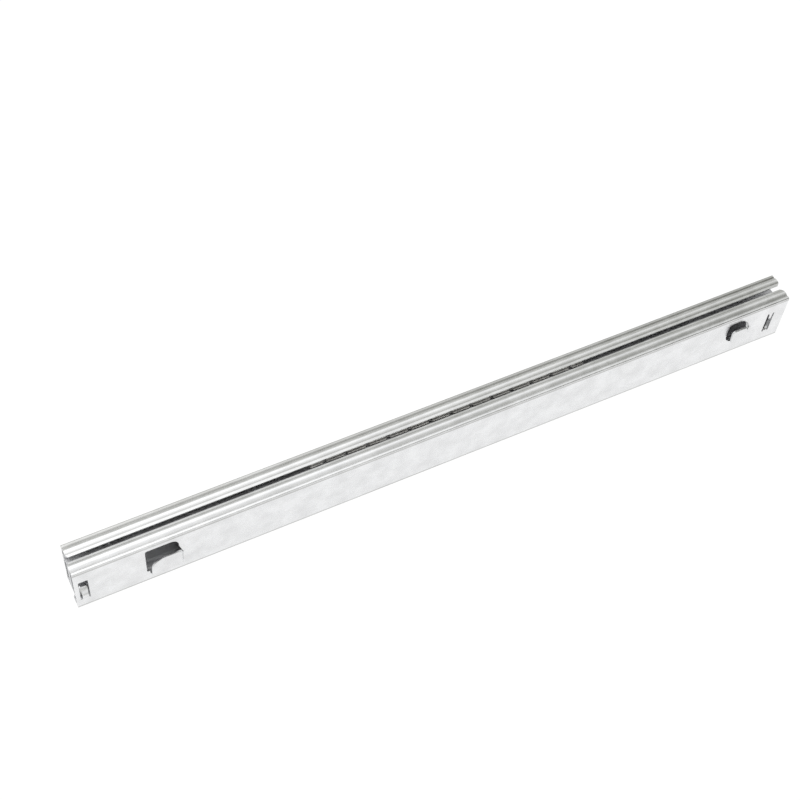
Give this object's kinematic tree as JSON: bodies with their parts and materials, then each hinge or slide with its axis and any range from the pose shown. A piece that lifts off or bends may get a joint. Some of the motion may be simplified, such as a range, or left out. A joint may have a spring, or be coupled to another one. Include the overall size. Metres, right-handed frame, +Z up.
{
  "type": "cabinet drawer slide",
  "caption": "Full-extension ball-bearing drawer slide: two facing steel channels with hook-in tabs run on balls along a riveted double inner channel.",
  "frame": {"origin": "middle of the cabinet channel's outer mounting face: half its length, half its height", "axes": "+X along the slide to the rear of the cabinet (the drawer pulls out towards -X), +Y from the cabinet side to the drawer side, +Z up"},
  "size_m": [0.451, 0.0266, 0.035],
  "materials": {
    "zinc_channel": "bright zinc plated, satin",
    "retainer_strip": "bright cold-rolled strip",
    "ball_steel": "polished bearing steel",
    "rivet_steel": "plated, dull"
  },
  "bodies": {
    "cabinet": {"cabinet_channel": "zinc_channel"},
    "cabinet_balls": {"cabinet_ball_retainer": "retainer_strip", "cabinet_bottom_ball_01": "ball_steel", "cabinet_bottom_ball_03": "ball_steel", "cabinet_bottom_ball_05": "ball_steel", "cabinet_bottom_ball_07": "ball_steel", "cabinet_bottom_ball_09": "ball_steel", "cabinet_bottom_ball_11": "ball_steel", "cabinet_bottom_ball_13": "ball_steel", "cabinet_bottom_ball_15": "ball_steel", "cabinet_top_ball_01": "ball_steel", "cabinet_top_ball_03": "ball_steel", "cabinet_top_ball_05": "ball_steel", "cabinet_top_ball_07": "ball_steel", "cabinet_top_ball_09": "ball_steel", "cabinet_top_ball_11": "ball_steel", "cabinet_top_ball_13": "ball_steel", "cabinet_top_ball_15": "ball_steel"},
    "intermediate": {"cabinet_inner_channel": "zinc_channel", "drawer_inner_channel": "zinc_channel", "channel_rivet_1": "rivet_steel", "channel_rivet_2": "rivet_steel", "channel_rivet_3": "rivet_steel", "channel_rivet_4": "rivet_steel"},
    "drawer_balls": {"drawer_ball_retainer": "retainer_strip", "drawer_bottom_ball_01": "ball_steel", "drawer_bottom_ball_03": "ball_steel", "drawer_bottom_ball_05": "ball_steel", "drawer_bottom_ball_07": "ball_steel", "drawer_bottom_ball_09": "ball_steel", "drawer_bottom_ball_11": "ball_steel", "drawer_bottom_ball_13": "ball_steel", "drawer_top_ball_01": "ball_steel", "drawer_top_ball_03": "ball_steel", "drawer_top_ball_05": "ball_steel", "drawer_top_ball_07": "ball_steel", "drawer_top_ball_09": "ball_steel", "drawer_top_ball_11": "ball_steel", "drawer_top_ball_13": "ball_steel"},
    "drawer": {"drawer_channel": "zinc_channel"}
  },
  "joints": [
    {"name": "intermediate_slide", "type": "slide", "parent": "cabinet", "child": "intermediate", "axis": [-1, 0, 0], "range_m": [0, 0.223]},
    {"name": "cabinet_retainer_slide", "type": "slide", "parent": "cabinet", "child": "cabinet_balls", "axis": [-1, 0, 0], "range_m": [0, 0.1115]},
    {"name": "drawer_slide", "type": "slide", "parent": "intermediate", "child": "drawer", "axis": [-1, 0, 0], "range_m": [0, 0.226]},
    {"name": "drawer_retainer_slide", "type": "slide", "parent": "intermediate", "child": "drawer_balls", "axis": [-1, 0, 0], "range_m": [0, 0.113]}
  ],
  "couplings": [
    {"joint": "cabinet_retainer_slide", "follows": "intermediate_slide", "ratio": 0.5},
    {"joint": "drawer_retainer_slide", "follows": "drawer_slide", "ratio": 0.5}
  ]
}
